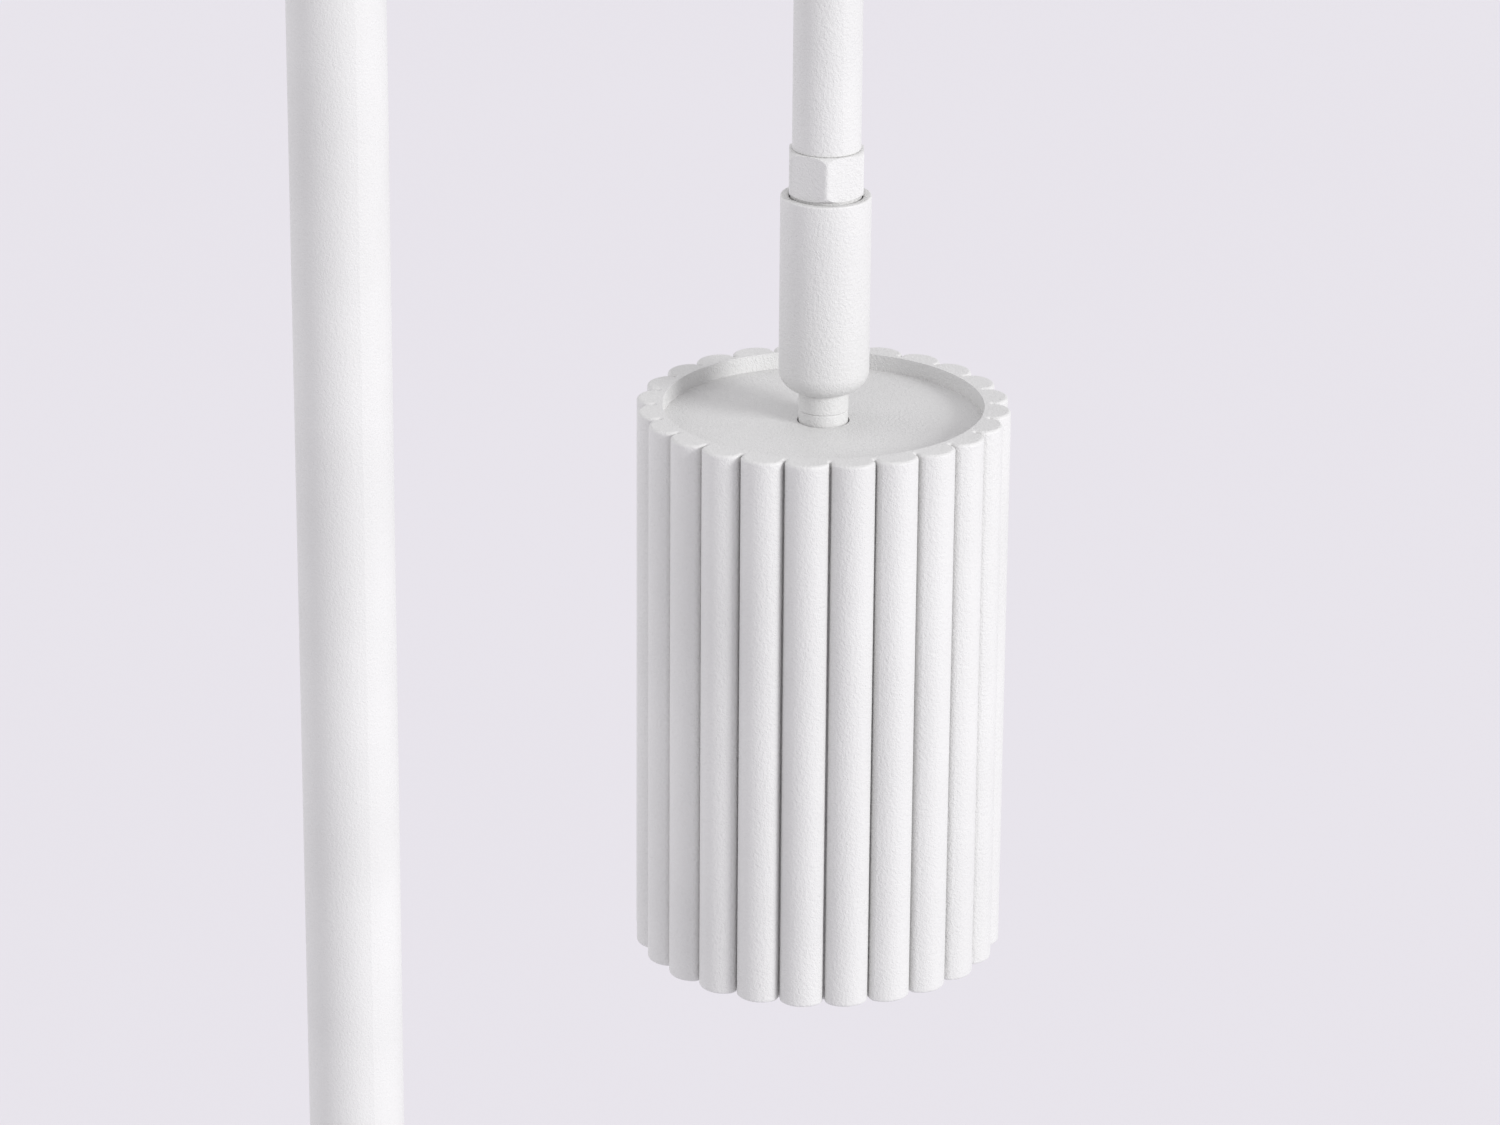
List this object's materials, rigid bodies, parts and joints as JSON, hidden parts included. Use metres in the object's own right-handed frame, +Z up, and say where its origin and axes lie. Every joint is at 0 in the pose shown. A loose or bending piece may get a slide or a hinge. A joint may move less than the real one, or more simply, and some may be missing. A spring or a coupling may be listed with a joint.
{
  "type": "arc floor lamp",
  "caption": "Floor lamp with a round base, a swivelling bent arm and a fluted cylinder shade that pans and tilts on a barrel swivel.",
  "frame": {"origin": "centre of the base's underside, on the pole's axis, at floor level", "axes": "+Z up along the pole; +X from the pole towards the drop of the arc and the shade; +Y to the left of +X"},
  "size_m": [0.484, 0.28, 1.608],
  "materials": {
    "stand_coat": "white fine-textured powder coat",
    "arm_coat": "white fine-textured powder coat",
    "shade_coat": "aluminium extrusion with a white fine-textured powder coat",
    "plated_steel": "zinc-plated",
    "turned_steel": "turned, oiled",
    "nylon": "natural nylon",
    "black_rubber": "matte",
    "foot_pad": "fine-textured foam rubber",
    "lead_sheath": "white flexible sheath",
    "lead_insulation": "smooth",
    "porcelain": "unglazed",
    "bulb_shell": "smooth",
    "bulb_lens": "frosted",
    "nickel": "nickel-plated"
  },
  "bodies": {
    "stand": {"base_plate": "stand_coat", "base_pad": "foot_pad", "base_washer": "plated_steel", "base_bolt": "plated_steel", "pole_foot_plug": "turned_steel", "cord_inlet_grommet": "black_rubber", "pole_lower": "stand_coat", "pole_coupler": "turned_steel", "coupler_screws": "plated_steel", "pole_upper": "stand_coat", "lower_bush": "nylon", "lower_bush_screw": "plated_steel", "pole_top_collar": "stand_coat", "upper_bush": "nylon", "arc_friction_screw": "plated_steel", "lead_in_stand": "lead_sheath"},
    "arc": {"arc_tube": "arm_coat", "arc_stop_ring": "turned_steel", "stop_ring_screw": "plated_steel", "hex_collar": "arm_coat", "swivel_stud": "plated_steel", "swivel_nut": "plated_steel", "spring_washer": "turned_steel", "pan_stop_pin": "turned_steel", "lead_in_arc": "lead_sheath"},
    "barrel": {"swivel_sleeve": "arm_coat", "swivel_core": "turned_steel", "thrust_washer": "nylon", "sleeve_screw": "plated_steel", "pivot_screws": "turned_steel"},
    "head": {"neck": "arm_coat", "friction_washers": "nylon", "neck_ring": "arm_coat", "nipple": "plated_steel", "top_plate": "shade_coat", "plate_washer": "plated_steel", "plate_nut": "plated_steel", "bracket_nut": "plated_steel", "shade": "shade_coat", "snap_ring": "turned_steel", "holder_bracket": "plated_steel", "lampholder": "porcelain", "holder_screws": "plated_steel", "bulb_body": "bulb_shell", "bulb_lens": "bulb_lens", "bulb_pins": "nickel", "head_leads": "lead_insulation"}
  },
  "joints": [
    {"name": "arc_swivel", "type": "hinge", "parent": "stand", "child": "arc", "pos_m": [0, 0, 1.4], "axis": [0, 0, 1], "range_deg": [-170, 170]},
    {"name": "barrel_pan", "type": "hinge", "parent": "arc", "child": "barrel", "pos_m": [0.3, 0, 1.3464], "axis": [0, 0, 1], "range_deg": [-165, 165]},
    {"name": "head_tilt", "type": "hinge", "parent": "barrel", "child": "head", "pos_m": [0.3, 0, 1.3155], "axis": [0, 1, 0], "range_deg": [0, 90]}
  ]
}
